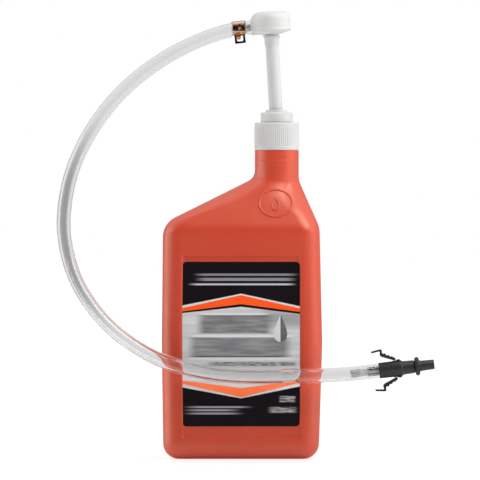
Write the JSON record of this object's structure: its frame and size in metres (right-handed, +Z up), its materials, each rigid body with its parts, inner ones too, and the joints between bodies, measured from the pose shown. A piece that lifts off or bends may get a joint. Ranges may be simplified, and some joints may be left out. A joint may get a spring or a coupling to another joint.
{
  "type": "fluid transfer pump",
  "caption": "Hand plunger pump screwed on a rectangular plastic bottle, with a clear hose, a spring band clamp and a push-in filling adapter with serrated grip legs.",
  "frame": {"origin": "middle of the bottle's flat base", "axes": "+Z up along the bottle and pump, +X to the neck's side and the adapter's end, -Y to the labelled front"},
  "size_m": [0.2532, 0.0776, 0.3013],
  "materials": {
    "red_plastic": "semi-gloss blow-moulded polyethylene",
    "label_film": "printed film label",
    "white_plastic": "semi-gloss moulded polypropylene",
    "natural_plastic": "natural milky polyethylene",
    "gasket_foam": "matte foam liner",
    "stainless_steel": "bright drawn stainless steel",
    "yellow_zinc": "yellow passivated zinc plate with iridescent tints",
    "clear_vinyl": "clear flexible vinyl",
    "black_plastic": "satin moulded plastic",
    "black_rubber": "satin rubber"
  },
  "bodies": {
    "reservoir": {"bottle": "red_plastic", "bottle_label": "label_film"},
    "pump_body": {"pump_cylinder": "natural_plastic", "locking_collar": "white_plastic", "closure_gasket": "gasket_foam", "ball_cage": "white_plastic", "dip_tube": "natural_plastic", "return_spring": "stainless_steel"},
    "closure_ring": {"closure": "white_plastic"},
    "inlet_check": {"inlet_ball": "stainless_steel"},
    "piston": {"piston_seal": "natural_plastic", "piston_retainer": "white_plastic"},
    "plunger": {"stem": "white_plastic"},
    "outlet_check": {"outlet_ball": "stainless_steel"},
    "head": {"pump_head": "white_plastic", "hose": "clear_vinyl", "hose_clamp": "yellow_zinc", "adapter_body": "black_plastic", "adapter_barb": "black_plastic", "adapter_seal_ring": "black_rubber"},
    "upper_leg": {"grip_leg_upper": "black_plastic"},
    "lower_leg": {"grip_leg_lower": "black_plastic"}
  },
  "joints": [
    {"name": "pump_rise", "type": "slide", "parent": "reservoir", "child": "pump_body", "axis": [0, 0, 1], "range_m": [0, 0.0053]},
    {"name": "closure_turn", "type": "hinge", "parent": "pump_body", "child": "closure_ring", "pos_m": [0.0235, 0, 0.217], "axis": [0, 0, 1], "range_deg": [0, 450]},
    {"name": "inlet_lift", "type": "slide", "parent": "pump_body", "child": "inlet_check", "axis": [0, 0, 1], "range_m": [0, 0.002]},
    {"name": "plunger_stroke", "type": "slide", "parent": "pump_body", "child": "piston", "axis": [0, 0, 1], "range_m": [-0.038, 0], "stiffness_N_per_m": 300, "springref_m": 0.027, "deforming": ["return_spring"]},
    {"name": "plunger_lean", "type": "hinge", "parent": "piston", "child": "plunger", "pos_m": [0.0238, 0, 0.2173], "axis": [0, 1, 0], "range_deg": [0, 3.21]},
    {"name": "outlet_lift", "type": "slide", "parent": "plunger", "child": "outlet_check", "axis": [-0.0558, 0, 0.9984], "range_m": [0, 0.0014]},
    {"name": "head_swivel", "type": "hinge", "parent": "plunger", "child": "head", "pos_m": [0.0238, 0, 0.2173], "axis": [-0.0558, 0, 0.9984], "range_deg": [-4, 14]},
    {"name": "upper_grip", "type": "hinge", "parent": "head", "child": "upper_leg", "pos_m": [0.1019, -0.042, 0.0673], "axis": [0, -1, 0], "range_deg": [0, 18], "stiffness_Nm_per_rad": 0.05},
    {"name": "lower_grip", "type": "hinge", "parent": "head", "child": "lower_leg", "pos_m": [0.1034, -0.042, 0.0546], "axis": [0, 1, 0], "range_deg": [0, 18], "stiffness_Nm_per_rad": 0.05}
  ],
  "couplings": [
    {"joint": "closure_turn", "follows": "pump_rise", "rad_per_m": 1481.9},
    {"joint": "plunger_lean", "follows": "plunger_stroke", "rad_per_m": -1.4698}
  ]
}
